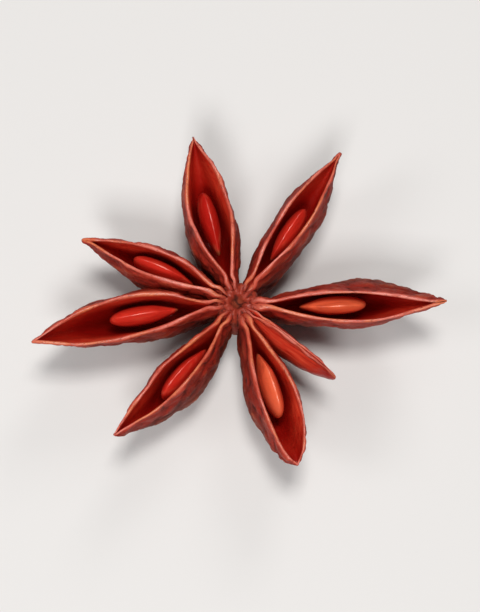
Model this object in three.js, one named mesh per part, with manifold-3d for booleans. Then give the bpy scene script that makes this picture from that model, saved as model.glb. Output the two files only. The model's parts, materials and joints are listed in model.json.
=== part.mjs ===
// A dried star anise fruit: eight boat-shaped carpels round a short column, most of them split along the
// top so that the seed inside shows. Millimetres, +Z up. The fruit lies with its open side up on the
// plane z = 0, and the origin is on that plane under the column.
//
// Each carpel is a hull with a hollow cut into it. Both are lofted along the carpel from the column's
// axis to the beak, and s is the share of that way, 0 at the axis and 1 at the beak's point.
import * as THREE from "three";
import { mergeVertices } from "three/addons/utils/BufferGeometryUtils.js";
import Module from "manifold-3d";

// Driving dimensions of the fruit.
const RIM_HEIGHT = 7.3; // the lips' height above the table, half way along a carpel
const RIM_DIP = 0.9; // how much lower the lips start at the column, give or take DIP_SPREAD.size
const DIP_SPREAD = { size: 0.15, turns: 9 };
const CREST = { share: 0.1, depth: 1.6 }; // how the lips dive into the dimple on top of the column
const COLUMN_RADIUS = 1.9;
const COLUMN_UNDERSIDE = 2.3; // where the keels leave the column
const STALK_RADIUS = 1.15;
const STALK_END = 0.7; // the broken stalk's height above the table

// Driving dimensions shared by the carpels.
const WALL = { column: 0.5, beak: 0.28 };
const KEEL_WALL = { column: 0.8, beak: 0.2 };
const LIP = { column: 0.46, beak: 0.26 }; // thickness of each lip of the split
const LIP_ROUND = { width: 0.45, height: 0.3 }; // the lip's rounded outer edge, as shares of the lip
const BEAK_DEPTH = 0.7;
const BEAK_ROUND = { share: 0.06, end: 0.3, below: 0.4 }; // how the beak's end is rounded
const BEND_POWER = 2.4; // a carpel bends mostly near its beak
const ROLL_DEPTH = 2; // a carpel rolls about a line this far below the lips
const SUTURE_DEPTH = 0.28; // groove between two lips that are still shut
const LIP_EDGE = 0.12; // the lip's upright inner edge
const NARROWEST = 0.05; // how much wider than the split the hollow is at its ends
const ABOVE = 1; // how far the tool that cuts the hollow reaches above the lips
const LOWEST_AT = 0.42; // share of the length where the keel is lowest
const FLAT = 0.1; // how far a keel that carries the fruit is worn flat
const WAVE = { size: 0.1, along: 13, turns: 5 }; // unevenness of the lips and flanks

// How the hull's width rises from the column and falls to the beak, and the same for the split.
const HULL_SWELL = { rise: 1.2, fall: 1.15 };
const SPLIT_SWELL = { rise: 1.15, fall: 1.15 };
const HOLLOW_SWELL = { rise: 0.36, fall: 0.45 };

// Handles of the curve up a flank: two half widths, as shares of the belly's, and the upper one's level.
const HULL_FLANK = { foot: 0.72, side: 1.18, level: 0.62 };
const HOLLOW_FLANK = { foot: 0.8, side: 1.12, level: 0.76 };
const FLARE = 0.13; // how much each millimetre of gape narrows the hollow's side below the lips

// Seeds lie on edge in the hollows, pointed end towards the column.
const SEED = { length: 6, depth: 4.2, thickness: 1.65, point: 0.16 };

// Each carpel: its azimuth in degrees, anticlockwise from +X; its reach from the axis to the beak; the
// widest gap between its lips; the width of its belly; how far the beak rises above the lips and bends
// to the left as seen from the axis; its roll at the beak in degrees; the keel's height above the flat,
// before it rolls; where its split begins and ends, and the split's fall if it ends bluntly; and its
// seed's share of the reach, drop below the lips, side shift, size and tilt in degrees.
const CARPELS = [
  {
    name: "east", azimuth: -1.4, reach: 17.5, gape: 2.1, belly: 4.5,
    lift: 0.9, bend: 1.4, roll: 27, keel: -0.2,
    split: [0.15, 0.94], seed: { at: 0.46, drop: 2.45, shift: 0, size: 0.94, tilt: 1 },
  },
  {
    name: "northeast", azimuth: 56, reach: 16, gape: 1.9, belly: 4.2,
    lift: -0.4, bend: 0.2, roll: 4, keel: 0.25,
    split: [0.16, 0.95], seed: { at: 0.49, drop: 2.6, shift: 0, size: 0.92, tilt: -2 },
  },
  {
    name: "north", azimuth: 109, reach: 15, gape: 3.1, belly: 4.7,
    lift: 0.3, bend: -1, roll: 3, keel: 0,
    split: [0.15, 0.97], seed: { at: 0.52, drop: 2.5, shift: 0, size: 0.98, tilt: -2 },
  },
  {
    name: "northwest", azimuth: 152, reach: 14.2, gape: 1.9, belly: 4.1,
    lift: -0.2, bend: 1.3, roll: -4, keel: 0.15,
    split: [0.17, 0.94], seed: { at: 0.5, drop: 2.6, shift: 0, size: 0.93, tilt: 2 },
  },
  {
    name: "west", azimuth: 184.5, reach: 17.4, gape: 3.1, belly: 4.6,
    lift: 0.2, bend: 1.66, roll: -18, keel: -0.08,
    split: [0.14, 0.97], seed: { at: 0.46, drop: 2.4, shift: -0.1, size: 0.97, tilt: -2 },
  },
  {
    name: "southwest", azimuth: 234, reach: 15.3, gape: 1.9, belly: 4.1,
    lift: -0.3, bend: -1.4, roll: 3, keel: 0.1,
    split: [0.15, 0.975], seed: { at: 0.48, drop: 2.6, shift: 0, size: 0.93, tilt: 0 },
  },
  {
    name: "south", azimuth: 292.8, reach: 14.8, gape: 2.7, belly: 4.4,
    lift: -0.4, bend: -1.1, roll: -9.5, keel: 0,
    split: [0.15, 0.985], blunt: 0.75, seed: { at: 0.49, drop: 2.5, shift: 0.02, size: 0.97, tilt: 1 },
  },
  {
    name: "southeast", azimuth: 320, reach: 10.4, gape: 0, belly: 2.2,
    lift: -1.2, bend: 0.2, roll: -10, keel: 3,
  },
];

// The lofts: where a hull starts, how far a hollow stays inside its split, and their steps along the
// carpel and up each flank.
const HULL_START = 0.03;
const HOLLOW_INSET = 0.01;
const CROWDING = 0.6; // 0 spaces the steps evenly, and 1 crowds them most at both ends
const HULL_STEPS = 19;
const HOLLOW_STEPS = 15;
const FLANK_STEPS = 6;
const HOLLOW_FLANK_STEPS = 5;
const COLUMN_STEPS = 24;
const SEED_STEPS = { around: 14, along: 9 };

const wasm = await Module();
wasm.setup();

// A hump over 0..1 that is 0 at both ends and 1 at its top.
function swell(t, { rise, fall }) {
  if (t <= 0 || t >= 1) return 0;
  const top = rise / (rise + fall);
  return (t / top) ** rise * ((1 - t) / (1 - top)) ** fall;
}

function lerp(a, b, t) {
  return a + (b - a) * t;
}

// The curve up one flank as [across, height] pairs, from the middle of the bottom to the top's edge.
function flank(bottom, width, [edge, top], { foot, side, level }, steps) {
  const points = [
    [0, bottom],
    [foot * width, bottom],
    [side * width, lerp(bottom, top, level)],
    [edge, top],
  ];
  const curve = new THREE.CubicBezierCurve(...points.map(([x, y]) => new THREE.Vector2(x, y)));
  return curve.getPoints(steps).map((p) => [p.x, p.y]);
}

// The carpel's measures at share s of its way: half widths and heights.
function measures(carpel, s) {
  const phase = THREE.MathUtils.degToRad(carpel.azimuth);
  const ripple = WAVE.size * swell(s, HULL_SWELL) * Math.sin(WAVE.along * s + WAVE.turns * phase);
  const dip = RIM_DIP + DIP_SPREAD.size * Math.sin(DIP_SPREAD.turns * phase);
  const dive = CREST.depth * Math.max(0, 1 - s / CREST.share) ** 2;
  const rim = RIM_HEIGHT - dip * (1 - s) ** 4 - dive + carpel.lift * s ** 5 + ripple;
  const lowest = carpel.keel - FLAT;
  const beakKeel = RIM_HEIGHT + carpel.lift - BEAK_DEPTH;
  const keel =
    s < LOWEST_AT
      ? lerp(lowest, COLUMN_UNDERSIDE, (1 - s / LOWEST_AT) ** 2)
      : lerp(lowest, beakKeel, ((s - LOWEST_AT) / (1 - LOWEST_AT)) ** 2);
  const [start, end] = carpel.split ?? [0, 1];
  const along = (s - start) / (end - start);
  const gap = (carpel.gape / 2) * swell(along, { ...SPLIT_SWELL, fall: carpel.blunt ?? SPLIT_SWELL.fall });
  const [wall, keelWall, lip] = [WALL, KEEL_WALL, LIP].map(({ column, beak }) => lerp(column, beak, s ** 3));
  const belly = Math.max((carpel.belly / 2) * swell(s, HULL_SWELL) * (1 + ripple), gap + wall);
  return { rim, keel, gap, wall, keelWall, lip, belly, along };
}

// One cross-section from a half outline that runs from the keel to the middle of the top.
function section(half) {
  const other = half.slice(1, -1).reverse().map(([x, y]) => [-x, y]);
  return [...half, ...other];
}

function hullSection(carpel, s) {
  const { rim, keel, gap, lip, belly } = measures(carpel, s);
  const height = rim - keel;
  const side = flank(keel, belly, [gap + lip, rim - LIP_ROUND.height * lip], HULL_FLANK, FLANK_STEPS);
  const suture = rim - SUTURE_DEPTH * Math.min(1, height);
  const outline = [...side, [gap + LIP_ROUND.width * lip, rim], [0, suture]];
  // The beak's end is rounded about a point a little below the lips.
  const past = Math.max(0, (s - 1 + BEAK_ROUND.share) / BEAK_ROUND.share);
  const round = Math.max(BEAK_ROUND.end, Math.sqrt(1 - past * past));
  const middle = rim - BEAK_ROUND.below * height;
  return section(outline.map(([x, y]) => [x * round, lerp(middle, y, round)]));
}

function hollowSection(carpel, s) {
  const { rim, keel, gap, wall, keelWall, belly, along } = measures(carpel, s);
  const open = swell(along, HOLLOW_SWELL);
  const depth = (rim - keel - keelWall) * open;
  const width = Math.max(gap + NARROWEST, (belly - wall) * open);
  const flared = { ...HOLLOW_FLANK, side: HOLLOW_FLANK.side - FLARE * carpel.gape };
  const side = flank(rim - depth, width, [gap, rim - LIP_EDGE], flared, HOLLOW_FLANK_STEPS);
  return section([...side, [gap, rim + ABOVE], [0, rim + ABOVE]]);
}

// The carpel's turn about its own length at share s of its way, in radians.
function rollAt(carpel, s) {
  return THREE.MathUtils.degToRad(carpel.roll) * Math.sin((Math.PI / 2) * s);
}

// Where a cross-section's point lies in the fruit.
function place(carpel, s, [across, height]) {
  const roll = rollAt(carpel, s);
  const pivot = RIM_HEIGHT - ROLL_DEPTH;
  const x = across * Math.cos(roll) - (height - pivot) * Math.sin(roll) + carpel.bend * s ** BEND_POWER;
  const z = across * Math.sin(roll) + (height - pivot) * Math.cos(roll) + pivot;
  return new THREE.Vector3(carpel.reach * s, x, z).applyAxisAngle(
    new THREE.Vector3(0, 0, 1),
    THREE.MathUtils.degToRad(carpel.azimuth),
  );
}

// A closed solid through the sections at each share of the way in stations.
function loft(carpel, stations, sectionAt) {
  const rings = stations.map((s) => sectionAt(carpel, s).map((p) => place(carpel, s, p)));
  const size = rings[0].length;
  const positions = rings.flat().flatMap((p) => p.toArray());
  const index = [];
  for (let i = 0; i + 1 < rings.length; i++)
    for (let j = 0; j < size; j++) {
      const [a, b] = [i * size + j, i * size + ((j + 1) % size)];
      index.push(a, b, a + size, b, b + size, a + size);
    }
  // A cap is a strip across the section, between the points at the same step up each flank.
  const last = (rings.length - 1) * size;
  const half = size / 2;
  for (let j = 0; j < half; j++) {
    const [a, b, c, d] = [j, j + 1, (size - j) % size, size - j - 1];
    if (c !== a) index.push(a, c, b), index.push(last + a, last + b, last + c);
    if (d !== b) index.push(b, c, d), index.push(last + b, last + d, last + c);
  }
  return solid(positions, index);
}

function solid(positions, index) {
  const vertProperties = new Float32Array(positions);
  const triVerts = new Uint32Array(index);
  const made = new wasm.Manifold(new wasm.Mesh({ numProp: 3, vertProperties, triVerts }));
  if (made.volume() <= 0) throw new Error("a loft is inside out");
  return made;
}

function solidOf(geometry) {
  geometry.deleteAttribute("normal");
  geometry.deleteAttribute("uv");
  const merged = mergeVertices(geometry, 1e-4);
  return solid(merged.attributes.position.array, merged.index.array);
}

function geometryOf(made) {
  const { vertProperties, triVerts } = made.getMesh();
  const geometry = new THREE.BufferGeometry();
  geometry.setAttribute("position", new THREE.BufferAttribute(vertProperties, 3));
  geometry.setIndex(new THREE.BufferAttribute(triVerts, 1));
  return geometry;
}

// Shares of the way from first to last, closer together near both ends.
function stations(first, last, steps) {
  return Array.from({ length: steps + 1 }, (_, i) => {
    const even = i / steps;
    return lerp(first, last, lerp(even, 0.5 - 0.5 * Math.cos(Math.PI * even), CROWDING));
  });
}

function hull(carpel) {
  return loft(carpel, stations(HULL_START, 1, HULL_STEPS), hullSection);
}

function hollow(carpel) {
  const [start, end] = carpel.split;
  const ends = [HOLLOW_INSET, 1 - HOLLOW_INSET].map((share) => lerp(start, end, share));
  return loft(carpel, stations(...ends, HOLLOW_STEPS), hollowSection);
}

// The column with its dimpled top and the stub of the stalk below.
function column() {
  const top = RIM_HEIGHT - RIM_DIP;
  const profile = [
    [0, STALK_END],
    [0.8 * STALK_RADIUS, STALK_END],
    [STALK_RADIUS, STALK_END + 0.25],
    [STALK_RADIUS, COLUMN_UNDERSIDE - 0.5],
    [COLUMN_RADIUS, COLUMN_UNDERSIDE + 0.5],
    [COLUMN_RADIUS, top - 1.1],
    [0.75 * COLUMN_RADIUS, top - 0.3],
    [0.5 * COLUMN_RADIUS, top - 0.05],
    [0.25 * COLUMN_RADIUS, top - 0.2],
    [0, top - 0.35],
  ].map(([radius, height]) => new THREE.Vector2(radius, height));
  const geometry = new THREE.LatheGeometry(profile, COLUMN_STEPS);
  return solidOf(geometry.rotateX(Math.PI / 2));
}

// What lies under the table, which the keels are worn flat by.
function underTable() {
  return solidOf(new THREE.BoxGeometry(60, 60, 10).translate(0, 0, -5));
}

function pod() {
  const hulls = CARPELS.map(hull);
  const hollows = CARPELS.filter((carpel) => carpel.split).map(hollow);
  const whole = hulls.reduce((sum, part) => sum.add(part), column());
  return outside(hollows.reduce((left, part) => left.subtract(part), whole).subtract(underTable()));
}

// The body without the tiny hollows that fusing seals between the carpels.
function outside(made) {
  return made.decompose().reduce((largest, part) => (part.volume() > largest.volume() ? part : largest));
}

// A flattened egg on edge: its length lies along +X and its pointed end towards -X.
function seed(size) {
  const geometry = new THREE.SphereGeometry(0.5, SEED_STEPS.around, SEED_STEPS.along).rotateZ(Math.PI / 2);
  const points = geometry.attributes.position;
  for (let i = 0; i < points.count; i++) {
    const girth = size * (1 + 2 * SEED.point * points.getX(i));
    points.setXYZ(
      i,
      size * SEED.length * points.getX(i),
      girth * SEED.thickness * points.getY(i),
      girth * SEED.depth * points.getZ(i),
    );
  }
  return geometryOf(solidOf(geometry));
}

const podFinish = new THREE.MeshStandardMaterial({ color: 0x7a2c1b, roughness: 0.7, metalness: 0 });
const seedFinish = new THREE.MeshStandardMaterial({ color: 0x9c3420, roughness: 0.2, metalness: 0 });

function podMesh() {
  const mesh = new THREE.Mesh(geometryOf(pod()), podFinish);
  mesh.name = "pod";
  return mesh;
}

function seedMesh(carpel) {
  const { at, drop, shift, size, tilt } = carpel.seed;
  const turn = Math.atan((BEND_POWER * carpel.bend * at ** (BEND_POWER - 1)) / carpel.reach);
  const mesh = new THREE.Mesh(seed(size), seedFinish);
  mesh.name = `seed_${carpel.name}`;
  mesh.position.copy(place(carpel, at, [shift, measures(carpel, at).rim - drop]));
  mesh.rotation.set(
    rollAt(carpel, at),
    THREE.MathUtils.degToRad(-tilt),
    THREE.MathUtils.degToRad(carpel.azimuth) + turn,
    "ZYX",
  );
  return mesh;
}

const fruit = new THREE.Group();
fruit.add(podMesh(), ...CARPELS.filter((carpel) => carpel.seed).map(seedMesh));

export default fruit;
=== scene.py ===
"""A dried star anise fruit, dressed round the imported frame.

The husk is eight boat-shaped carpels fused round a short column. Seven of them have split along
the top, and each of those shows a seed. Shapes are worked out in millimetres, and every finished
piece is brought to metres at the end.
"""

from __future__ import annotations

import json
import logging
import math
from dataclasses import dataclass, field
from enum import Enum
from typing import Callable, Sequence

import bmesh
import bpy
from mathutils import Matrix, Vector, noise

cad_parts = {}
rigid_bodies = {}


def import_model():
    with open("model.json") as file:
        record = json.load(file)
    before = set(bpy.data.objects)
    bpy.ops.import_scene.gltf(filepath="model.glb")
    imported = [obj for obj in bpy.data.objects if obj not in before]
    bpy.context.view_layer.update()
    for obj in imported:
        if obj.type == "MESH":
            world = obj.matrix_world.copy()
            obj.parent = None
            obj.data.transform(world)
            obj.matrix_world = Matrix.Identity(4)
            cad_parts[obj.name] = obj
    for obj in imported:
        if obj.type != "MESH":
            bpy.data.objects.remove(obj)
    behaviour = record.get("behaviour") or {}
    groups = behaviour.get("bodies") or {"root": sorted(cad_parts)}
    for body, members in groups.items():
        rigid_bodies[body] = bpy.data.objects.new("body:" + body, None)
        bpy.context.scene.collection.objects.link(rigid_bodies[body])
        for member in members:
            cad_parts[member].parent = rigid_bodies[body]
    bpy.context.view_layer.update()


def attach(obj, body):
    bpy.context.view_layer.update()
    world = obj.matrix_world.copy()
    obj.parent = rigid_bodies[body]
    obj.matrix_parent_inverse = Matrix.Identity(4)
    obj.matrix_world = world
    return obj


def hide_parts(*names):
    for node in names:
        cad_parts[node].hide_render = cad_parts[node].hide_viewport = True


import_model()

LOG = logging.getLogger("star_anise")
NOISE_SEED = 7
MM = 0.001
SMOOTH_ANGLE = math.radians(60)
# A marked vertex's zone has at least this alpha, and one that the union makes has none.
MARKED = 0.5

HUSK_ATTRIBUTES = {"zones": "FLOAT_COLOR", "grain": "FLOAT_VECTOR", "relief": "FLOAT"}
SEED_ATTRIBUTES = {"grain": "FLOAT_VECTOR", "tone": "FLOAT"}

Profile = list[tuple[float, float]]
Colour = tuple[float, float, float, float]
Piece = bpy.types.Object
Socket = bpy.types.NodeSocket


# ---- Small helpers ----


def lerp(a: float, b: float, t: float) -> float:
    """The value a share t of the way from a to b."""
    return a + (b - a) * t


def clamp(value: float, low: float = 0.0, high: float = 1.0) -> float:
    """The value kept between low and high."""
    return max(low, min(high, value))


def ease(low: float, high: float, value: float) -> float:
    """A smooth step, 0 at low and 1 at high, which may lie on either side of low."""
    t = clamp((value - low) / (high - low))
    return t * t * (3 - 2 * t)


def hump(value: float, middle: float, width: float) -> float:
    """A bell curve of height 1 round middle."""
    return math.exp(-(((value - middle) / width) ** 2))


def rumple(x: float, y: float, z: float) -> float:
    """Smooth noise at a point, from about -1 to 1."""
    return noise.noise(Vector((x, y, z)))


def grit(at: Vector, fade: float = 0.8) -> float:
    """Noise in three layers, each twice as fine as the one before it."""
    return noise.fractal(at, fade, 2.0, 3)


def bezier(points: Sequence[tuple[float, float]], steps: int, crowding: float = 1.0) -> Profile:
    """Samples a cubic Bezier curve.

    Args:
        points: Its four control points.
        steps: How many spans to cut it into.
        crowding: Above 1, the spans get shorter towards the curve's end.

    Returns:
        steps + 1 points, both ends included.
    """
    curve = []
    for i in range(steps + 1):
        t = 1 - (1 - i / steps) ** crowding
        weights = ((1 - t) ** 3, 3 * t * (1 - t) ** 2, 3 * t * t * (1 - t), t**3)
        x = sum(w * p[0] for w, p in zip(weights, points))
        y = sum(w * p[1] for w, p in zip(weights, points))
        curve.append((x, y))
    return curve


def srgb(red: int, green: int, blue: int) -> Colour:
    """A screen colour as linear light.

    Args:
        red: Its red, from 0 to 255.
        green: Its green.
        blue: Its blue.

    Returns:
        The three channels from 0 to 1, and full alpha.
    """
    channels = [step / 255 for step in (red, green, blue)]
    light = [c / 12.92 if c <= 0.04045 else ((c + 0.055) / 1.055) ** 2.4 for c in channels]
    return (*light, 1.0)


def deselect() -> None:
    """Deselects every object, so that the next operator acts on one piece alone."""
    bpy.ops.object.select_all(action="DESELECT")


def hang(name: str, data: bpy.types.ID) -> Piece:
    """Puts a lamp or a camera into the scene.

    Args:
        name: The new object's name.
        data: The lamp's or the camera's own data.

    Returns:
        The new object, at the origin.
    """
    held = bpy.data.objects.new(name, data)
    bpy.context.scene.collection.objects.link(held)
    return held


def activate(piece: Piece) -> None:
    """Makes a piece the only selected object and the active one.

    Args:
        piece: The object to work on.
    """
    deselect()
    piece.select_set(True)
    bpy.context.view_layer.objects.active = piece


def settle() -> None:
    """Takes the active piece's place, turn and scale into its mesh."""
    bpy.ops.object.transform_apply(location=True, rotation=True, scale=True)


def apply_modifier(piece: Piece, kind: str, **settings: object) -> None:
    """Adds a modifier with these settings and applies it.

    Args:
        piece: The object to change.
        kind: Blender's name for the modifier's type.
        **settings: The modifier's properties.
    """
    modifier = piece.modifiers.new(kind.lower(), kind)
    for name, value in settings.items():
        setattr(modifier, name, value)
    activate(piece)
    bpy.ops.object.modifier_apply(modifier=modifier.name)


def add_attributes(mesh: bpy.types.Mesh, kinds: dict[str, str]) -> None:
    """Adds point attributes, all before any is filled, because each one added moves the rest."""
    for name, kind in kinds.items():
        mesh.attributes.new(name, kind, "POINT")


def extrude_tube(name: str, around: int, rings: int, place: Callable[[int, int], Vector]) -> Piece:
    """Extrudes a circle ring by ring and shapes the closed tube that this gives.

    Args:
        name: The object's name.
        around: How many vertices each ring has.
        rings: How many rings the tube has.
        place: Where the vertex at this ring and this step round it goes.

    Returns:
        The tube, closed at both ends.
    """
    deselect()
    bpy.ops.mesh.primitive_circle_add(vertices=around, radius=1, rotation=(0, math.pi / 2, 0))
    piece = bpy.context.object
    piece.name = name
    settle()
    bpy.ops.object.mode_set(mode="EDIT")
    bpy.ops.mesh.select_all(action="SELECT")
    bpy.ops.mesh.edge_face_add()
    for _ in range(rings - 1):
        bpy.ops.mesh.extrude_region_move(TRANSFORM_OT_translate={"value": (1, 0, 0)})
    bpy.ops.object.mode_set(mode="OBJECT")
    for vertex in piece.data.vertices:
        turn = math.atan2(vertex.co.y, -vertex.co.z) % (2 * math.pi)
        step = round(turn / (2 * math.pi) * around) % around
        vertex.co = place(round(vertex.co.x), step)
    return piece


def finish_piece(piece: Piece, name: str) -> Piece:
    """Names a piece, brings it from millimetres to metres and smooths its shading.

    Args:
        piece: The object, modelled in millimetres about the origin.
        name: Its name in the scene.

    Returns:
        The same object, with its place in its mesh.
    """
    piece.name = name
    piece.data.name = name
    piece.scale = (MM, MM, MM)
    activate(piece)
    settle()
    bpy.ops.object.shade_smooth_by_angle(angle=SMOOTH_ANGLE)
    return piece


def dress(piece: Piece, material: bpy.types.Material, node: str) -> None:
    """Gives a piece its material and ties it to the frame.

    Args:
        piece: The finished object.
        material: Its only material.
        node: The CAD node that it stands for.
    """
    piece.data.materials.clear()
    piece.data.materials.append(material)
    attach(piece, "root")
    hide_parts(node)
    LOG.info("%s: %d faces", piece.name, len(piece.data.polygons))


# ---- The fruit's form ----


@dataclass(frozen=True)
class Swell:
    """A hump over 0 to 1 that is 0 at both ends and 1 at its top."""

    rise: float
    fall: float

    def at(self, t: float) -> float:
        """The hump's height at t."""
        top = self.rise / (self.rise + self.fall)
        return (t / top) ** self.rise * ((1 - t) / (1 - top)) ** self.fall if 0 < t < 1 else 0.0


@dataclass(frozen=True)
class Taper:
    """A thickness that falls from the column to the beak, in millimetres."""

    column: float
    beak: float

    def at(self, s: float) -> float:
        """The thickness at share s of the carpel's way."""
        return lerp(self.column, self.beak, s**3)


@dataclass(frozen=True)
class Flank:
    """Handles of the curve up a flank: two half widths, as shares of the belly's, and a level."""

    foot: float
    side: float
    level: float

    def narrowed(self, by: float) -> Flank:
        """The same flank with its upper handle nearer the middle."""
        return Flank(self.foot, self.side - by, self.level)

    def curve(self, bottom: float, width: float, top: tuple[float, float]) -> Profile:
        """The curve's control points, from the middle of the bottom to its top."""
        foot, side = self.foot * width, self.side * width
        return [(0, bottom), (foot, bottom), (side, lerp(bottom, top[1], self.level)), top]


@dataclass(frozen=True)
class Build:
    """The sizes that all carpels share, in millimetres and shares of the way to the beak."""

    rim_height: float = 7.3
    rim_dip: float = 0.9
    dip_spread: float = 0.15
    dip_turns: float = 9
    crest_share: float = 0.1
    crest_depth: float = 1.6
    column_radius: float = 1.9
    column_underside: float = 2.3
    stalk_radius: float = 1.15
    stalk_end: float = 0.7
    wall: Taper = Taper(0.5, 0.28)
    keel_wall: Taper = Taper(0.8, 0.2)
    lip: Taper = Taper(0.38, 0.24)
    lip_unevenness: float = 0.45
    lip_sway: float = 0.15
    lip_heave: float = 0.18
    shoulder_drop: float = 0.45
    neck_depth: float = 0.1
    neck_drop: float = 0.85
    neck_spread: float = 0.42
    neck_from: float = 3
    beak_depth: float = 0.7
    beak_share: float = 0.06
    beak_end: float = 0.3
    beak_below: float = 0.4
    bend_power: float = 2.4
    roll_depth: float = 2.0
    suture_depth: float = 0.28
    eye_at: float = 1.85
    eye_spread: float = 0.36
    eye_width: float = 0.19
    eye_depth: float = 0.5
    lowest_at: float = 0.42
    flat: float = 0.1
    wave: float = 0.1
    wave_along: float = 13
    wave_turns: float = 5
    hull_swell: Swell = Swell(1.2, 1.15)
    split_swell: Swell = Swell(1.15, 1.15)
    hollow_swell: Swell = Swell(0.36, 0.45)
    hull_flank: Flank = Flank(0.72, 1.18, 0.62)
    hollow_flank: Flank = Flank(0.8, 1.12, 0.76)
    flare: float = 0.13


BUILD = Build()


@dataclass(frozen=True)
class SeedPlace:
    """Where a seed lies in its carpel, in millimetres and degrees, and how orange its coat is."""

    at: float
    drop: float
    shift: float
    size: float
    tilt: float
    tone: float


@dataclass(frozen=True)
class Measures:
    """A carpel's half widths and heights at one share of its way, in millimetres."""

    rim: float
    keel: float
    gap: float
    belly: float
    along: float


@dataclass(frozen=True)
class WallPoint:
    """One point of the wall's outline, and how far it belongs to the lip and to the inside."""

    across: float
    height: float
    lip: float
    inside: float


class Side(Enum):
    """The two halves of a carpel, as seen from the axis."""

    LEFT = 1
    RIGHT = -1


@dataclass(frozen=True)
class Relief:
    """How deep the dry wall's wrinkles, fibres and chips are, in millimetres."""

    fold: float = 0.17
    pleat: float = 0.1
    wrinkle: float = 0.05
    fibre: float = 0.03
    chip: float = 0.02
    middle: float = 0.42
    stray: float = 0.8
    stray_pitch: float = 0.45

    @property
    def deepest(self) -> float:
        """How far the outer face's ridges stand above its deepest creases."""
        return self.fold + self.pleat + self.wrinkle

    @staticmethod
    def billow(x: float, y: float, z: float) -> float:
        """Rounded bumps with narrow creases between them, from 0 to 1."""
        return min(1.0, 2.1 * abs(rumple(x, y, z)))

    def outside(self, at: Vector) -> float:
        """The wrinkled outer face's pattern.

        Args:
            at: A point of the wall, along its grain.

        Returns:
            0 in a crease to 1 on a ridge.
        """
        x, y, z = at + self.stray * noise.noise_vector(self.stray_pitch * at)
        folds = self.billow(0.42 * x + 0.3 * z, 0.85 * y, 0.8 * z)
        pleats = self.billow(0.8 * x - 0.5 * z, 2.0 * y + 9, 1.9 * z)
        wrinkles = self.billow(1.5 * x + 0.9 * z, 3.1 * y + 5, 3.0 * z - 0.6 * x)
        depth = self.fold * folds + self.pleat * pleats + self.wrinkle * wrinkles
        return clamp(depth / self.deepest)

    def height(self, at: Vector, lip: float, inside: float, ridge: float) -> float:
        """How far the surface stands out at a point.

        Args:
            at: The point, along the grain.
            lip: How far it belongs to the lip, from 0 to 1.
            inside: How far it belongs to the lining.
            ridge: The outer face's pattern there.

        Returns:
            The height along the normal, in millimetres.
        """
        outside = clamp(1 - lip - inside)
        fibres = rumple(0.15 * at.x, 2.4 * at.y, 1.8 * at.z)
        chips = grit(Vector((1.5 * at.x, 1.8 * at.y, 1.5 * at.z)))
        return (
            outside * self.deepest * (ridge - self.middle)
            + inside * self.fibre * fibres
            + lip * self.chip * chips
        )


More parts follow.
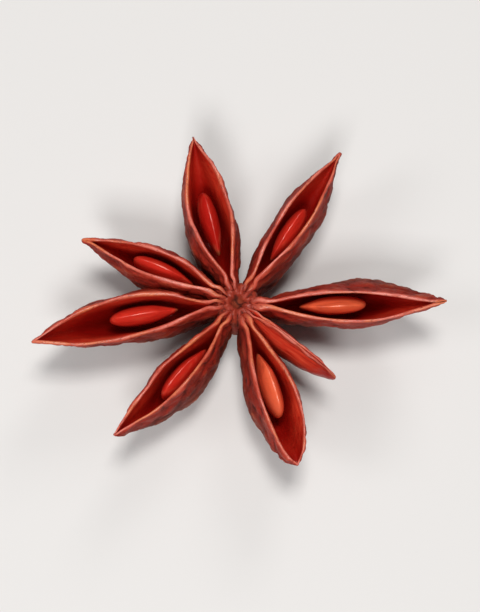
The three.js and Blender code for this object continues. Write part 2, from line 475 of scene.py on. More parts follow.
@dataclass
class Carpel:
    """One boat-shaped carpel, lofted from the column's axis to its beak.

    Attributes:
        name: The quarter it points to.
        azimuth: Its direction in degrees, anticlockwise from +X.
        reach: From the axis to the beak.
        gape: The widest gap between its lips.
        belly: The width of its belly.
        lift: How far the beak rises above the lips.
        bend: How far the beak bends to the left, seen from the axis.
        roll: Its turn about its own length at the beak, in degrees.
        keel: The keel's height above the flat.
        split: The shares of the way where its split begins and ends, or None while it is shut.
        seed: Its seed's place, if it shows one.
        blunt: The split's fall, where it ends bluntly.
        lip_share: Its lips' width, as a share of the usual one.
        flush: How far its outer face takes the lining's colour and satin.
        stations: How many spans the wall has along its way.
    """

    name: str
    azimuth: float
    reach: float
    gape: float
    belly: float
    lift: float
    bend: float
    roll: float
    keel: float
    split: tuple[float, float] | None = None
    seed: SeedPlace | None = None
    blunt: float = BUILD.split_swell.fall
    lip_share: float = 1.0
    flush: float = 0.0
    stations: int = 40

    # Where the stations lie: the first and last share of the way, and how they crowd to both.
    first: float = 0.03
    last: float = 1.0
    crowding: float = 0.6

    # Half a section's outline: the spans of its outer and inner faces, how they crowd to the lip,
    # and how far each point of the bead belongs to the lip.
    outer_spans: int = 18
    outer_crowding: float = 1.35
    inner_spans: int = 11
    inner_crowding: float = 1.2
    lip_shares: tuple[float, ...] = (0.2, 0.7, 0.95, 1.0)

    @property
    def half(self) -> int:
        """The spans of half a section."""
        return self.outer_spans + len(self.lip_shares) + self.inner_spans

    def measures(self, s: float) -> Measures:
        """The carpel's sizes on its way out.

        Args:
            s: The share of its way to the beak.

        Returns:
            Its half widths and heights there.
        """
        phase = math.radians(self.azimuth)
        swing = math.sin(BUILD.wave_along * s + BUILD.wave_turns * phase)
        ripple = BUILD.wave * BUILD.hull_swell.at(s) * swing
        dip = BUILD.rim_dip + BUILD.dip_spread * math.sin(BUILD.dip_turns * phase)
        dive = BUILD.crest_depth * max(0.0, 1 - s / BUILD.crest_share) ** 2
        rim = BUILD.rim_height - dip * (1 - s) ** 4 - dive + self.lift * s**5 + ripple
        lowest = self.keel - BUILD.flat
        beak_keel = BUILD.rim_height + self.lift - BUILD.beak_depth
        if s < BUILD.lowest_at:
            keel = lerp(lowest, BUILD.column_underside, (1 - s / BUILD.lowest_at) ** 2)
        else:
            keel = lerp(lowest, beak_keel, ((s - BUILD.lowest_at) / (1 - BUILD.lowest_at)) ** 2)
        start, end = self.split or (0.0, 1.0)
        along = (s - start) / (end - start)
        gap = self.gape / 2 * Swell(BUILD.split_swell.rise, self.blunt).at(along)
        belly = self.belly / 2 * BUILD.hull_swell.at(s) * (1 + ripple)
        return Measures(rim, keel, gap, max(belly, gap + BUILD.wall.at(s)), along)

    def opening(self, s: float) -> float:
        """How far the hollow has opened at share s, from 0 to about 1."""
        return BUILD.hollow_swell.at(self.measures(s).along) if self.split else 0.0

    def key(self, side: Side) -> float:
        """A lip's own place in the noise."""
        return self.azimuth + 7 * side.value

    def stray(self, s: float, side: Side) -> tuple[float, float]:
        """How far a lip strays from its even line.

        Args:
            s: The share of the way.
            side: The lip's side.

        Returns:
            Its stray sideways and upwards, in millimetres.
        """
        way, key = self.reach * s, self.key(side)
        sway = rumple(0.3 * way, key, 0) + 0.2 * rumple(1.1 * way, key, 3)
        lift = rumple(0.3 * way, key, 5) + 0.2 * rumple(1.3 * way, key, 7)
        parted = min(1.0, self.measures(s).gap / 0.5)
        free = ease(0.0, 0.1, s) * ease(1.0, 0.93, s)
        return BUILD.lip_sway * sway * parted, BUILD.lip_heave * lift * free

    def lip_width(self, s: float, side: Side) -> float:
        """How wide a lip is at share s, thicker in some stretches than in others."""
        uneven = rumple(0.5 * self.reach * s, self.key(side), 11)
        return BUILD.lip.at(s) * self.lip_share * (1 + BUILD.lip_unevenness * uneven)

    def eye(self, s: float) -> float:
        """How near share s is to the small pit where the seam meets the column, from 0 to 1."""
        return hump(self.reach * s, BUILD.eye_at, BUILD.eye_spread)

    def outline(self, s: float, side: Side) -> list[WallPoint]:
        """One half of the wall's outline.

        Args:
            s: The share of the way.
            side: The half's side.

        Returns:
            Its points, from the keel outside over the lip to the keel inside.
        """
        m = self.measures(s)
        height = m.rim - m.keel
        sway, lift = self.stray(s, side)
        lip = self.lip_width(s, side)
        rim, gap = m.rim + lift, m.gap + sway + BUILD.eye_width * self.eye(s)
        edge = gap + lip

        # The outer face, drawn in to a neck under the lip.
        shoulder = (edge, rim - BUILD.shoulder_drop * lip)
        handles = BUILD.hull_flank.curve(m.keel, m.belly, shoulder)
        neck = BUILD.neck_depth * min(1.0, height / BUILD.neck_from)
        outer = []
        for x, y in bezier(handles, self.outer_spans, self.outer_crowding)[:-1]:
            drawn = neck * hump(rim - y, BUILD.neck_drop, BUILD.neck_spread) * min(1.0, x)
            outer.append(WallPoint(x - drawn, y, 0.0, self.flush))

        # The lip's bead, and the hollow or the seam behind it.
        brink = (gap + 0.02, rim - 0.12 * lip)
        crest = [(edge + 0.05 * lip, rim + 0.16 * lip), (gap + 0.3 * lip, rim + 0.3 * lip)]
        bead = bezier([shoulder, *crest, brink], len(self.lip_shares))
        opening = self.opening(s)
        seam = BUILD.suture_depth * min(1.0, height) + BUILD.eye_depth * self.eye(s)
        depth = max(seam, (height - BUILD.keel_wall.at(s)) * opening)
        width = max(m.gap + 0.05, (m.belly - BUILD.wall.at(s)) * opening)
        flank = BUILD.hollow_flank.narrowed(BUILD.flare * self.gape)
        handles = flank.curve(m.rim - depth, width, (gap + 0.01, rim - 0.4 * lip))
        inner = bezier(handles, self.inner_spans, self.inner_crowding)[-2::-1]
        return [
            *outer,
            *(WallPoint(x, y, share, 0.0) for share, (x, y) in zip(self.lip_shares, bead)),
            WallPoint(*brink, 0.85, 1.0),
            *(WallPoint(x, y, 0.0, 1.0) for x, y in inner),
        ]

    def rounding(self, s: float) -> float:
        """How much the beak's rounded end narrows the section at share s."""
        past = max(0.0, (s - 1 + BUILD.beak_share) / BUILD.beak_share)
        return max(BUILD.beak_end, math.sqrt(max(0.0, 1 - past * past)))

    def roll_at(self, s: float) -> float:
        """The carpel's turn about its own length at share s, in radians."""
        return math.radians(self.roll) * math.sin(math.pi / 2 * s)

    def place(self, s: float, across: float, height: float) -> Vector:
        """Where a point of a cross-section lies in the fruit.

        Args:
            s: The section's share of the way.
            across: The point's place to the left of the middle.
            height: Its height.

        Returns:
            Its place, in millimetres.
        """
        roll = self.roll_at(s)
        pivot = BUILD.rim_height - BUILD.roll_depth
        bend = self.bend * s**BUILD.bend_power
        y = across * math.cos(roll) - (height - pivot) * math.sin(roll) + bend
        z = across * math.sin(roll) + (height - pivot) * math.cos(roll) + pivot
        return Matrix.Rotation(math.radians(self.azimuth), 3, "Z") @ Vector((self.reach * s, y, z))

    def shares(self) -> list[float]:
        """Spaces the stations.

        Returns:
            Their shares of the way, closer together near both ends.
        """
        even = [i / self.stations for i in range(self.stations + 1)]
        crowded = [lerp(t, 0.5 - 0.5 * math.cos(math.pi * t), self.crowding) for t in even]
        return [lerp(self.first, self.last, t) for t in crowded]

    def wall(self) -> Piece:
        """Folds a tube into the carpel's wall and marks its zones.

        Returns:
            A closed shell with the point attributes zones and grain.
        """
        shares = self.shares()
        sections = [{side: self.outline(s, side) for side in Side} for s in shares]
        marks: list[tuple[Colour, Vector]] = []

        def put(ring: int, step: int) -> Vector:
            """Places one vertex of the tube, and notes its zone and its grain.

            Args:
                ring: The number of its station.
                step: Its place round the section, from the keel outside.

            Returns:
                Its place in the fruit.
            """
            side = Side.LEFT if step <= self.half else Side.RIGHT
            point = sections[ring][side][step if step <= self.half else 2 * self.half - step]
            s = shares[ring]
            m = self.measures(s)
            rounding = self.rounding(s)
            middle = m.rim - BUILD.beak_below * (m.rim - m.keel)
            across = side.value * point.across * rounding
            height = lerp(middle, point.height, rounding)
            inside = point.inside * (ease(0.0, 0.3, self.opening(s)) if self.split else self.flush)
            # The depth below the rim is also the mask for the lining's painted shade.
            depth = clamp((m.rim - point.height) / BUILD.rim_height)
            zone = (point.lip, inside, depth, lerp(MARKED, 1, s))
            marks.append((zone, Vector((self.reach * s, across, height))))
            return self.place(s, across, height)

        piece = extrude_tube(self.name, 2 * self.half, len(shares), put)
        add_attributes(piece.data, HUSK_ATTRIBUTES)
        key = Vector((3 * self.azimuth, 0, 0))
        for i, (zone, at) in enumerate(marks):
            piece.data.attributes["zones"].data[i].color = zone
            piece.data.attributes["grain"].data[i].vector = at + key
        return piece

    def make(self) -> Piece:
        """Makes the carpel.

        Returns:
            Its wall as a closed shell, smooth and with its relief.
        """
        piece = self.wall()
        apply_modifier(piece, "SUBSURF", levels=1, render_levels=1)
        self.wrinkle(piece, Relief())
        return piece

    def wrinkle(self, piece: Piece, relief: Relief) -> None:
        """Wrinkles the wall along its normals and keeps the pattern as the attribute relief.

        Args:
            piece: The carpel's wall.
            relief: The depths of its wrinkles, fibres and chips.
        """
        mesh = piece.data
        count = len(mesh.vertices)
        zones = [0.0] * (4 * count)
        grain = [0.0] * (3 * count)
        mesh.attributes["zones"].data.foreach_get("color", zones)
        mesh.attributes["grain"].data.foreach_get("vector", grain)
        ridges, moved = [], []
        for vertex in mesh.vertices:
            i = vertex.index
            at = Vector(grain[3 * i : 3 * i + 3])
            ridge = relief.outside(at)
            lift = relief.height(at, zones[4 * i], zones[4 * i + 1], ridge)
            ridges.append(ridge)
            moved.extend(vertex.co + vertex.normal * lift)
        mesh.vertices.foreach_set("co", moved)
        mesh.attributes["relief"].data.foreach_set("value", ridges)
        mesh.update()


@dataclass
class Column:
    """The short column that the carpels meet at, with the stub of the stalk below it."""

    carpels: list[Carpel]
    around: int = 112
    rings: int = 60
    ray_at: float = 0.62
    ray_width: float = 0.13
    ray_height: float = 0.16
    lump_pitch: float = 1.7
    lump_height: float = 0.24
    pit_at: float = 1.3
    pit_radius: float = 0.2
    pit_depth: float = 0.3
    dimple: float = 0.4
    rib_depth: float = 0.12
    tear_depth: float = 0.14
    grain_key: float = 400

    @property
    def top(self) -> float:
        """The crown's height."""
        return BUILD.rim_height - BUILD.rim_dip

    def profile(self) -> Profile:
        """The column's outline.

        Returns:
            Radius and height pairs from the stalk's end to the dimple on top.
        """
        stalk, column = BUILD.stalk_radius, BUILD.column_radius
        end, under, top = BUILD.stalk_end, BUILD.column_underside, self.top
        return [
            (0.0, end + 0.12),
            (0.45 * stalk, end + 0.06),
            (0.8 * stalk, end),
            (stalk, end + 0.25),
            (0.97 * stalk, under - 0.9),
            (stalk, under - 0.5),
            (0.8 * column, under),
            (column, under + 0.5),
            (column, top - 1.1),
            (0.96 * column, top - 0.35),
            (0.84 * column, top),
            (0.6 * column, top + 0.05),
            (0.38 * column, top),
            (0.2 * column, top - 0.28),
            (0.0, top - 0.42),
        ]

    def sampled(self) -> Profile:
        """The profile cut into even spans.

        Returns:
            A radius and a height for each ring.
        """
        knots = [Vector(p) for p in self.profile()]
        lengths = [(b - a).length for a, b in zip(knots, knots[1:])]
        total = sum(lengths)
        points = []
        for i in range(self.rings):
            left, span = total * i / (self.rings - 1), 0
            while span < len(lengths) - 1 and left > lengths[span]:
                left -= lengths[span]
                span += 1
            points.append(tuple(knots[span].lerp(knots[span + 1], min(1.0, left / lengths[span]))))
        return points

    def seen(self, x: float, y: float) -> list[tuple[float, float]]:
        """Takes a point of the crown into the carpels' own directions.

        Args:
            x: The point's place along the long carpels.
            y: The point's place across them.

        Returns:
            For each carpel, how far out along it the point is, and how far to its side.
        """
        turns = [math.radians(carpel.azimuth) for carpel in self.carpels]
        spokes = [(math.cos(turn), math.sin(turn)) for turn in turns]
        return [(x * cos + y * sin, y * cos - x * sin) for cos, sin in spokes]

    def ray(self, x: float, y: float) -> float:
        """Finds how near a point on top is to the line of a carpel's lip.

        Args:
            x: The point's place along the long carpels.
            y: The point's place across them.

        Returns:
            1 on the line, and down to 0 away from it.
        """
        asides = [abs(aside) for along, aside in self.seen(x, y) if along > 0]
        middle = self.ray_at * BUILD.lip.column
        return max((hump(aside, middle, self.ray_width) for aside in asides), default=0.0)

    def pit(self, x: float, y: float) -> float:
        """How near a point on top is to the pit where a split ends, from 0 to 1."""
        away = [math.hypot(along - self.pit_at, aside) for along, aside in self.seen(x, y)]
        return hump(min(away), 0, self.pit_radius)

    def make(self) -> Piece:
        """Turns the column and gives it the same attributes as the carpels.

        Returns:
            The column as a closed body, in millimetres.
        """
        profile = self.sampled()

        def put(ring: int, step: int) -> Vector:
            """Places one vertex of the tube on the profile.

            Args:
                ring: The number of its ring, from the stalk's end.
                step: Its place round the ring.

            Returns:
                Its place in the fruit.
            """
            radius, height = profile[ring]
            turn = 2 * math.pi * step / self.around
            return Vector((radius * math.cos(turn), radius * math.sin(turn), height))

        piece = extrude_tube("column", self.around, self.rings, put)
        bpy.ops.object.mode_set(mode="EDIT")
        bpy.ops.mesh.select_all(action="SELECT")
        bpy.ops.mesh.remove_doubles(threshold=1e-4)
        bpy.ops.mesh.normals_make_consistent(inside=False)
        bpy.ops.object.mode_set(mode="OBJECT")
        add_attributes(piece.data, HUSK_ATTRIBUTES)
        self.roughen(piece.data)
        return piece

    def roughen(self, mesh: bpy.types.Mesh) -> None:
        """Gives the crown its lips, lumps, pits and dimple, and the sides and the stalk their ribs.

        Args:
            mesh: The smooth column.
        """
        zones, grain, relief = (mesh.attributes[name] for name in HUSK_ATTRIBUTES)
        for vertex in mesh.vertices:
            co = vertex.co.copy()
            x, y, z = co
            radius = math.hypot(x, y)
            above = ease(self.top - 1.6, self.top - 0.7, z)
            stub = ease(BUILD.column_underside + 0.4, BUILD.column_underside - 0.4, z)
            broken = stub * ease(BUILD.stalk_end + 0.5, BUILD.stalk_end + 0.1, z)
            ray = above * self.ray(x, y) * ease(self.dimple, 2 * self.dimple, radius)
            ribs = grit(Vector((1.6 * x, 1.6 * y, 0.5 * z)))
            torn = grit(co * 2.3, 0.7)
            lump = Relief.billow(self.lump_pitch * x, self.lump_pitch * y, 8)
            pit = self.pit(x, y)

            shade = lerp(0.35, 0.6, ease(2 * self.dimple, 0, radius))
            depth = clamp((self.top - z) / BUILD.rim_height + above * shade)
            # Low places and pits on the crown get a low relief, which the husk's finish paints with
            # crease shade.
            crown_relief = 0.06 + 0.55 * lump + 0.3 * ray - 0.7 * pit
            zones.data[vertex.index].color = (0.9 * ray, 0.0, depth, MARKED)
            grain.data[vertex.index].vector = (z + self.grain_key, x, y)
            relief.data[vertex.index].value = clamp(lerp(0.55 + 0.5 * ribs, crown_relief, above))

            lumps = self.lump_height * lump * ease(0.25, 0.6, radius) - self.pit_depth * pit
            rise = self.tear_depth * torn * broken + above * lumps
            swell = self.rib_depth * ribs * (0.3 + stub)
            vertex.co += vertex.normal * swell + Vector((0, 0, rise))
            vertex.co.z += self.ray_height * ray


# ---- The husk ----


@dataclass
class Husk:
    """The whole husk: the carpels fused round the column."""

    carpels: list[Carpel]
    spread_passes: int = 6
    crease_rings: int = 1
    crease_passes: int = 3
    pinch_passes: int = 6
    crumb: int = 200

    def make(self, material: bpy.types.Material) -> Piece:
        """Joins the carpels and the column in one closed surface and dresses it.

        Args:
            material: The husk's finish.

        Returns:
            The husk's object, in metres.
        """
        body = Column(self.carpels).make()
        parts = bpy.data.collections.new("carpels")
        bpy.context.scene.collection.children.link(parts)
        for carpel in self.carpels:
            shell = carpel.make()
            bpy.context.collection.objects.unlink(shell)
            parts.objects.link(shell)
            LOG.info("carpel %s: %d faces", carpel.name, len(shell.data.polygons))
        union = {"operation": "UNION", "solver": "MANIFOLD"}
        apply_modifier(body, "BOOLEAN", **union, operand_type="COLLECTION", collection=parts)
        for shell in list(parts.objects):
            bpy.data.objects.remove(shell)
        bpy.data.collections.remove(parts)
        self.mend(body)
        for vertex in body.data.vertices:
            vertex.co.z = max(vertex.co.z, 0.0)
        husk = finish_piece(body, "husk")
        dress(husk, material, "pod")
        return husk

    def mend(self, body: Piece) -> None:
        """Gives the vertices that the union made their attributes, and softens the seams.

        Args:
            body: The carpels and the column in one surface.
        """
        bm = bmesh.new()
        bm.from_mesh(body.data)
        zones = bm.verts.layers.float_color["zones"]
        grain = bm.verts.layers.float_vector["grain"]
        relief = bm.verts.layers.float["relief"]
        least = MARKED - 0.01
        unset = [v for v in bm.verts if v[zones][3] < least]
        creased = set(unset)
        for _ in range(self.spread_passes):
            left = []
            for vertex in unset:
                known = [e.other_vert(vertex) for e in vertex.link_edges]
                known = [v for v in known if v[zones][3] >= least]
                if not known:
                    left.append(vertex)
                    continue
                nearest = min(known, key=lambda v: (v.co - vertex.co).length)
                vertex[zones] = nearest[zones]
                vertex[grain] = nearest[grain]
                # Half the neighbour's relief, so the seams take more of the painted crease shade.
                vertex[relief] = 0.5 * nearest[relief]
            unset = left
        self.drop_crumbs(bm)
        creased = {v for v in creased if v.is_valid}
        for _ in range(self.crease_rings):
            creased |= {e.other_vert(v) for v in creased for e in v.link_edges}
        for _ in range(self.crease_passes):
            axes = dict.fromkeys(("use_axis_x", "use_axis_y", "use_axis_z"), True)
            bmesh.ops.smooth_vert(bm, verts=list(creased), factor=0.5, **axes)
        bmesh.ops.triangulate(bm, faces=[f for f in bm.faces if len(f.verts) > 4])
        for _ in range(self.pinch_passes):
            pinched = [e for e in bm.edges if not e.is_manifold]
            if not pinched:
                break
            bmesh.ops.collapse(bm, edges=pinched, uvs=False)
        bm.to_mesh(body.data)
        bm.free()

    def drop_crumbs(self, bm: bmesh.types.BMesh) -> None:
        """Deletes the small closed bits that the union leaves in the seams.

        Args:
            bm: The mesh to clear.
        """
        seen: set[bmesh.types.BMVert] = set()
        crumbs = []
        for start in bm.verts:
            if start in seen:
                continue
            seen.add(start)
            part, edge = [start], [start]
            while edge:
                vertex = edge.pop()
                around = {e.other_vert(vertex) for e in vertex.link_edges} - seen
                seen |= around
                edge.extend(around)
                part.extend(around)
            if len(part) < self.crumb:
                crumbs.extend(part)
        bmesh.ops.delete(bm, geom=crumbs, context="VERTS")


# ---- The seeds ----


@dataclass
class Seed:
    """A flattened, glossy seed on edge in its carpel, pointed end towards the column."""

    carpel: Carpel
    length: float = 6.0
    depth: float = 4.2
    thickness: float = 1.65
    point: float = 0.16
    lens: float = 0.28
    tip: float = 0.34
    raphe: float = 0.09
    raphe_width: float = 0.09
    unevenness: float = 0.03
    around: int = 72
    along: int = 56

    def make(self, material: bpy.types.Material) -> Piece:
        """The seed's object, in metres and dressed.

        Args:
            material: The seed coat's finish.

        Returns:
            The finished object.
        """
        place = self.carpel.seed
        deselect()
        bpy.ops.mesh.primitive_uv_sphere_add(
            segments=self.around, ring_count=self.along, radius=0.5, rotation=(0, math.pi / 2, 0)
        )
        piece = bpy.context.object
        settle()
        add_attributes(piece.data, SEED_ATTRIBUTES)
        grain, tone = (piece.data.attributes[name] for name in SEED_ATTRIBUTES)
        key = self.carpel.azimuth
        for vertex in piece.data.vertices:
            x, y, z = vertex.co
            girth = place.size * (1 + 2 * self.point * x) * (1 - self.tip * ease(-0.1, -0.5, x))
            lens = 1 - self.lens * (2 * z) ** 2
            across = girth * self.thickness * y * lens
            at = Vector((place.size * self.length * x, across, girth * self.depth * z))
            uneven = rumple(0.35 * at.x, 0.5 * at.y + key, 0.5 * at.z)
            keel = self.raphe * hump(y, 0, self.raphe_width) * ease(0, 0.3, z)
            keel *= ease(0.5, 0.35, abs(x))
            grain.data[vertex.index].vector = at + Vector((0, key, 0))
            tone.data[vertex.index].value = place.tone
            vertex.co = at * (1 + self.unevenness * uneven) + Vector((0, 0, keel))
        piece.data.transform(self.matrix())
        name = f"seed_{self.carpel.name}"
        seed = finish_piece(piece, name)
        dress(seed, material, name)
        return seed

    def matrix(self) -> Matrix:
        """Works out the seed's place in the fruit.

        Returns:
            Its turns and its place, in millimetres.
        """
        carpel, place = self.carpel, self.carpel.seed
        rim = carpel.measures(place.at).rim
        centre = carpel.place(place.at, place.shift, rim - place.drop)
        slope = BUILD.bend_power * carpel.bend * place.at ** (BUILD.bend_power - 1) / carpel.reach
        turn = Matrix.Rotation(math.radians(carpel.azimuth) + math.atan(slope), 4, "Z")
        tilt = Matrix.Rotation(math.radians(-place.tilt), 4, "Y")
        roll = Matrix.Rotation(carpel.roll_at(place.at), 4, "X")
        return Matrix.Translation(centre) @ turn @ tilt @ roll


CARPELS = [
    Carpel(
        "east", azimuth=-1.4, reach=17.5, gape=2.1, belly=4.5, lift=0.9, bend=1.4,
        roll=27, keel=-0.2, split=(0.15, 0.94),
        seed=SeedPlace(0.46, 2.45, 0, 0.94, 1, tone=1.0),
    ),
    Carpel(
        "northeast", azimuth=56, reach=16, gape=1.9, belly=4.2, lift=-0.4, bend=0.2,
        roll=4, keel=0.25, split=(0.16, 0.95),
        seed=SeedPlace(0.49, 2.6, 0, 0.92, -2, tone=0.4),
    ),
    Carpel(
        "north", azimuth=109, reach=15, gape=3.1, belly=4.7, lift=0.3, bend=-1,
        roll=3, keel=0, split=(0.15, 0.97),
        seed=SeedPlace(0.52, 2.5, 0, 0.98, -2, tone=0.1),
    ),
    Carpel(
        "northwest", azimuth=152, reach=14.2, gape=1.9, belly=4.1, lift=-0.2, bend=1.3,
        roll=-4, keel=0.15, split=(0.17, 0.94),
        seed=SeedPlace(0.5, 2.6, 0, 0.93, 2, tone=0.35),
    ),
    Carpel(
        "west", azimuth=184.5, reach=17.4, gape=3.1, belly=4.6, lift=0.2, bend=1.66,
        roll=-18, keel=-0.08, split=(0.14, 0.97),
        seed=SeedPlace(0.46, 2.4, -0.1, 0.97, -2, tone=0.48),
    ),
    Carpel(
        "southwest", azimuth=234, reach=15.3, gape=1.9, belly=4.1, lift=-0.3, bend=-1.4,
        roll=3, keel=0.1, split=(0.15, 0.975),
        seed=SeedPlace(0.48, 2.6, 0, 0.93, 0, tone=0.3),
    ),
    Carpel(
        "south", azimuth=292.8, reach=14.8, gape=2.7, belly=4.4, lift=-0.4, bend=-1.1,
        roll=-9.5, keel=0, split=(0.15, 0.985),
        seed=SeedPlace(0.49, 2.5, 0.02, 0.97, 1, tone=0.9), blunt=0.75,
    ),
    Carpel(
        "southeast", azimuth=320, reach=10.4, gape=0, belly=2.2, lift=-1.2, bend=0.2,
        roll=-10, keel=3, lip_share=0.5, flush=0.9, stations=30,
    ),
]


# ---- Finishes ----


class Graph:
    """A material's node tree, with one short call for each kind of node."""

    def __init__(self, name: str) -> None:
        """Starts a material with an empty tree.

        Args:
            name: The material's name.
        """
        self.material = bpy.data.materials.new(name)
        self.material.use_nodes = True
        self.nodes = self.material.node_tree.nodes
        self.links = self.material.node_tree.links
        self.nodes.clear()

    def node(self, kind: str, *numbered: tuple[int, object], **named: object) -> bpy.types.Node:
        """Adds a node.

        Args:
            kind: Blender's name for the node's type, without its Shader Node prefix.
            *numbered: Input numbers with a value or a socket for each.
            **named: The node's own properties, by their names in small letters, and values or
                sockets for its inputs, by their names with underscores for spaces.

        Returns:
            The new node.
        """
        made = self.nodes.new("ShaderNode" + kind)
        for name, value in named.items():
            if name.islower():
                setattr(made, name, value)
            else:
                self.feed(made.inputs[name.replace("_", " ")], value)
        for number, value in numbered:
            self.feed(made.inputs[number], value)
        return made

    def feed(self, socket: Socket, value: object) -> None:
        """Links a socket to another one, or sets its value.

        Args:
            socket: The input to feed.
            value: An output to link it to, or the value it keeps.
        """
        if isinstance(value, Socket):
            self.links.new(value, socket)
        else:
            socket.default_value = value

    def attribute(self, name: str, output: str) -> Socket:
        """An output of a point attribute of the piece."""
        return self.node("Attribute", attribute_name=name).outputs[output]

    def math(self, operation: str, a: object, b: object) -> Socket:
        """One sum on two numbers."""
        return self.node("Math", (0, a), (1, b), operation=operation).outputs[0]

    def times(self, a: object, b: object) -> Socket:
        """The product of two numbers."""
        return self.math("MULTIPLY", a, b)

    def mix(self, share: object, a: object, b: object) -> Socket:
        """Mixes two colours."""
        return self.node("Mix", (0, share), (6, a), (7, b), data_type="RGBA").outputs[2]

    def blend(self, share: object, a: object, b: object) -> Socket:
        """Mixes two numbers."""
        return self.node("Mix", (0, share), (2, a), (3, b), data_type="FLOAT").outputs[0]

    def scaled(self, vector: Socket, scale: tuple[float, float, float]) -> Socket:
        """A pattern's coordinates, stretched along each axis."""
        return self.node("Mapping", vector_type="POINT", Vector=vector, Scale=scale).outputs[0]

    def noise(self, at: Socket, scale: float, detail: float, roughness: float) -> Socket:
        """A cloudy pattern from 0 to 1."""
        made = self.node("TexNoise", Vector=at, Scale=scale, Detail=detail, Roughness=roughness)
        return made.outputs[0]

    def span(self, value: Socket, low: float, high: float) -> Socket:
        """A value's stretch from low to high as a smooth 0 to 1."""
        smooth = {"interpolation_type": "SMOOTHSTEP", "From_Min": low, "From_Max": high}
        return self.node("MapRange", Value=value, **smooth).outputs[0]

    def bump(self, height: Socket, depth: float, strength: float) -> Socket:
        """A bumped normal, with its depth in metres."""
        return self.node("Bump", Height=height, Distance=depth, Strength=strength).outputs[0]

    def close(self, shader: bpy.types.Node) -> bpy.types.Material:
        """Links the shader to the output and gives the material."""
        self.links.new(shader.outputs[0], self.node("OutputMaterial").inputs[0])
        return self.material


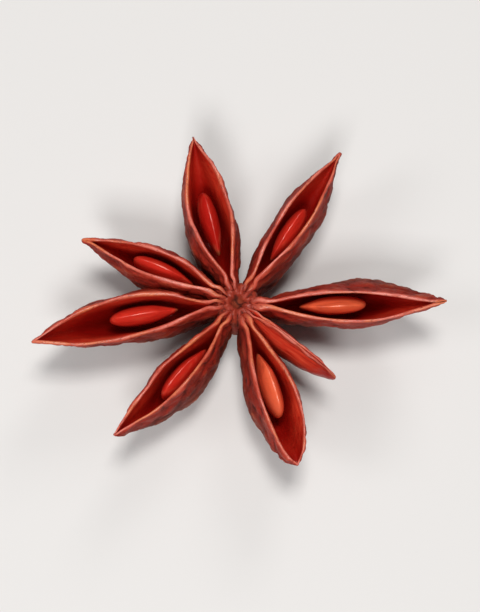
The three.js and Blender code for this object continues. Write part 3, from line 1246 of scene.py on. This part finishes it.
@dataclass(frozen=True)
class HuskFinish:
    """The dry husk: wrinkled and dark outside, satin inside, pale along the split."""

    # Painted shade for the creases, and also the colour of the dark grit specks.
    crease: Colour = srgb(58, 11, 7)
    shoulder: Colour = srgb(160, 38, 25)
    belly: Colour = srgb(132, 52, 31)
    ridge: Colour = srgb(186, 82, 52)
    patch: Colour = srgb(96, 25, 15)
    lip: Colour = srgb(192, 72, 53)
    # Crest colours: the lip's own pale and tan margin, brightened as a painted highlight.
    lip_pale_and_highlight: Colour = srgb(222, 118, 101)
    lip_tan_and_highlight: Colour = srgb(214, 112, 70)
    lip_dark: Colour = srgb(138, 32, 20)
    heart: Colour = srgb(152, 46, 31)
    inside: Colour = srgb(226, 56, 36)
    inside_pale: Colour = srgb(240, 98, 64)
    # Painted shade low in the hollow, the dark towards the beak, and the dark of the fibres.
    inside_shade_and_fibre: Colour = srgb(160, 18, 10)
    heart_from: float = 0.0012
    heart_to: float = 0.0021

    def material(self) -> bpy.types.Material:
        """Builds the material.

        Returns:
            The husk's material, on its point attributes.
        """
        g = Graph("husk_finish")
        zones = g.node("SeparateColor", Color=g.attribute("zones", "Color"))
        lip, inside, depth = zones.outputs[0], zones.outputs[1], zones.outputs[2]
        grain = g.attribute("grain", "Vector")
        relief = g.attribute("relief", "Fac")

        # The outer face: red under the lips and brown on the belly, with painted shade in its
        # creases, worn on its ridges, with patches and fine dark grit.
        streaks = g.noise(g.scaled(grain, (0.3, 1.5, 1.2)), 1.5, 6, 0.6)
        patches = g.noise(grain, 0.45, 4, 0.55)
        grit = g.noise(grain, 4.5, 6, 0.65)
        outside = g.mix(g.span(depth, 0.12, 0.6), self.shoulder, self.belly)
        low = g.blend(g.span(depth, 0.05, 0.4), 0.35, 1.0)
        dull = g.times(g.span(patches, 0.42, 0.68), low)
        outside = g.mix(dull, outside, self.patch)
        # Painted shade: the low places of the relief take the crease colour.
        outside = g.mix(g.span(relief, 0.34, 0.04), outside, self.crease)
        worn = g.times(g.span(relief, 0.45, 0.95), g.span(streaks, 0.35, 0.7))
        outside = g.mix(worn, outside, self.ridge)
        outside = g.mix(g.times(g.span(grit, 0.52, 0.3), 0.5), outside, self.crease)

        # The lining: bright under the lips, with painted shade that makes it dark and red at the
        # bottom, and with fine fibres.
        fibres = g.noise(g.scaled(grain, (0.14, 3.2, 2.6)), 2.2, 5, 0.6)
        lining = g.mix(g.span(fibres, 0.42, 0.75), self.inside, self.inside_pale)
        lining = g.mix(g.span(fibres, 0.5, 0.25), lining, self.inside_shade_and_fibre)
        # Painted shade: darker lower in the hollow.
        lining = g.mix(g.span(depth, 0.06, 0.5), lining, self.inside_shade_and_fibre)
        # Darker towards the beak end, where the zone's alpha is high.
        lining = g.mix(g.span(g.attribute("zones", "Alpha"), 0.86, 0.98), lining, self.inside_shade_and_fibre)

        # The lips: palest on their crests, in stretches, partly their own pale margin and partly a
        # painted highlight, and dull red round the column.
        stretches = g.noise(g.scaled(grain, (0.6, 1.3, 1.0)), 0.7, 3, 0.5)
        flecks = g.noise(g.scaled(grain, (1.2, 2.2, 2.2)), 2.4, 5, 0.6)
        # Pale margin and painted highlight along the crests, in stretches.
        crest = g.times(g.span(lip, 0.55, 1.0), g.span(stretches, 0.34, 0.62))
        tan = g.span(g.noise(g.scaled(grain, (0.3, 0.5, 0.5)), 0.55, 2, 0.5), 0.44, 0.56)
        edge = g.mix(crest, self.lip, g.mix(tan, self.lip_pale_and_highlight, self.lip_tan_and_highlight))
        edge = g.mix(g.times(g.span(flecks, 0.5, 0.3), 0.8), edge, self.lip_dark)
        flat = g.scaled(g.node("TexCoord").outputs["Object"], (1.0, 1.0, 0.0))
        radius = g.node("VectorMath", operation="LENGTH", Vector=flat).outputs["Value"]
        near = g.times(g.span(radius, self.heart_to, self.heart_from), 0.85)
        edge = g.mix(near, edge, self.heart)

        colour = g.mix(inside, outside, lining)
        colour = g.mix(lip, colour, edge)

        rough = g.blend(g.span(relief, 0.2, 0.9), 0.72, 0.5)
        rough = g.blend(inside, rough, g.blend(fibres, 0.26, 0.42))
        rough = g.blend(lip, rough, g.blend(flecks, 0.34, 0.5))

        outer_height = g.math("ADD", g.times(streaks, 0.8), g.times(grit, 0.4))
        height = g.blend(inside, outer_height, g.times(fibres, 0.3))
        height = g.blend(lip, height, g.times(flecks, 0.35))
        shader = g.node(
            "BsdfPrincipled",
            Base_Color=colour,
            Roughness=rough,
            Normal=g.bump(height, 0.0003, 0.7),
            Coat_Weight=g.times(g.math("MAXIMUM", inside, lip), 0.5),
            Coat_Roughness=0.22,
            Specular_IOR_Level=0.35,
            Specular_Tint=(1.0, 0.72, 0.6, 1.0),
        )
        return g.close(shader)


@dataclass(frozen=True)
class SeedFinish:
    """A polished seed coat, crimson to orange by the seed's tone, with faint streaks."""

    coat_crimson: Colour = srgb(190, 22, 17)
    coat_red: Colour = srgb(222, 52, 37)
    coat_orange: Colour = srgb(246, 112, 70)
    coat_dark: Colour = srgb(146, 22, 14)
    streak: Colour = srgb(246, 122, 88)
    hilum: Colour = srgb(158, 84, 52)

    def material(self) -> bpy.types.Material:
        """Builds the material.

        Returns:
            The seeds' material, on their point attributes.
        """
        g = Graph("seed_finish")
        grain = g.attribute("grain", "Vector")
        tone = g.attribute("tone", "Fac")
        streaks = g.noise(g.scaled(grain, (0.22, 1.2, 1.2)), 1.2, 3, 0.5)
        colour = g.mix(g.span(tone, 0, 0.5), self.coat_crimson, self.coat_red)
        colour = g.mix(g.span(tone, 0.5, 1), colour, self.coat_orange)
        colour = g.mix(g.times(g.span(streaks, 0.55, 0.2), 0.6), colour, self.coat_dark)
        colour = g.mix(g.times(g.span(streaks, 0.5, 0.8), 0.6), colour, self.streak)
        end = g.node("SeparateXYZ", Vector=grain).outputs[0]
        colour = g.mix(g.span(end, -2.5, -2.85), colour, self.hilum)
        shader = g.node(
            "BsdfPrincipled",
            Base_Color=colour,
            Roughness=g.blend(streaks, 0.3, 0.42),
            Normal=g.bump(g.noise(grain, 2.2, 3, 0.5), 0.0001, 0.35),
            Coat_Weight=1.0,
            Coat_Roughness=0.2,
            Specular_IOR_Level=1.0,
            Specular_Tint=(1.0, 0.7, 0.55, 1.0),
        )
        return g.close(shader)


# ---- The studio ----


@dataclass(frozen=True)
class Lamp:
    """A square soft box that faces the fruit, in metres and watts."""

    name: str
    place: tuple[float, float, float]
    size: float
    power: float
    tint: tuple[float, float, float] = (1.0, 1.0, 1.0)

    def make(self) -> None:
        """Hangs the lamp."""
        data = bpy.data.lights.new(self.name, "AREA")
        data.size = self.size
        data.energy = self.power
        data.color = self.tint
        lamp = hang(self.name, data)
        lamp.location = self.place
        lamp.rotation_euler = (-Vector(self.place)).to_track_quat("-Z", "Y").to_euler()


@dataclass
class Studio:
    """A pale floor, soft lamps and the camera that looks down on the fruit."""

    elevation: float = 74.0
    lens: float = 135.0
    sensor: float = 36.0
    frame_width: float = 0.0405
    look_at: tuple[float, float, float] = (0.0002, -0.0002, 0.006)
    floor_size: float = 3.0
    floor_colour: Colour = (0.74, 0.725, 0.71, 1.0)
    sky: float = 0.08
    sky_colour: Colour = (0.92, 0.95, 1.0, 1.0)
    lamps: list[Lamp] = field(
        default_factory=lambda: [
            Lamp("key", (0.02, 0.06, 0.45), 0.12, 1.1, (1.0, 0.98, 0.96)),
            Lamp("side", (-0.34, -0.06, 0.30), 0.16, 0.3),
            Lamp("back", (0.14, 0.36, 0.28), 0.16, 0.35),
            Lamp("front", (-0.04, -0.27, 0.35), 0.13, 0.9),
        ]
    )

    def floor(self) -> None:
        """A plain pale floor."""
        deselect()
        bpy.ops.mesh.primitive_plane_add(size=self.floor_size)
        plane = bpy.context.object
        plane.name = "floor"
        g = Graph("floor_finish")
        shader = g.node("BsdfPrincipled", Base_Color=self.floor_colour, Roughness=0.8)
        plane.data.materials.append(g.close(shader))

    def light(self) -> None:
        """The lamps and an even sky."""
        for lamp in self.lamps:
            lamp.make()
        world = bpy.data.worlds.new("sky")
        world.use_nodes = True
        background = world.node_tree.nodes["Background"]
        background.inputs["Color"].default_value = self.sky_colour
        background.inputs["Strength"].default_value = self.sky
        bpy.context.scene.world = world

    def camera(self) -> None:
        """The camera, as far off as its lens needs for the frame's width."""
        data = bpy.data.cameras.new("camera")
        data.sensor_fit = "HORIZONTAL"
        data.sensor_width = self.sensor
        data.lens = self.lens
        data.clip_start = 0.001
        camera = hang("camera", data)
        distance = self.frame_width * self.lens / self.sensor
        lift = math.radians(self.elevation)
        away = Vector((0, -math.cos(lift), math.sin(lift)))
        camera.location = Vector(self.look_at) + distance * away
        camera.rotation_euler = (math.pi / 2 - lift, 0, 0)
        bpy.context.scene.camera = camera

    def make(self) -> None:
        """Sets the whole studio up."""
        self.floor()
        self.light()
        self.camera()
        bpy.context.scene.view_settings.view_transform = "Standard"


def main() -> None:
    """Builds the fruit and the studio."""
    logging.basicConfig(level=logging.INFO, format="%(message)s")
    noise.seed_set(NOISE_SEED)
    Studio().make()
    Husk(CARPELS).make(HuskFinish().material())
    coat = SeedFinish().material()
    for carpel in CARPELS:
        if carpel.seed:
            Seed(carpel).make(coat)


if __name__ == "__main__":
    main()
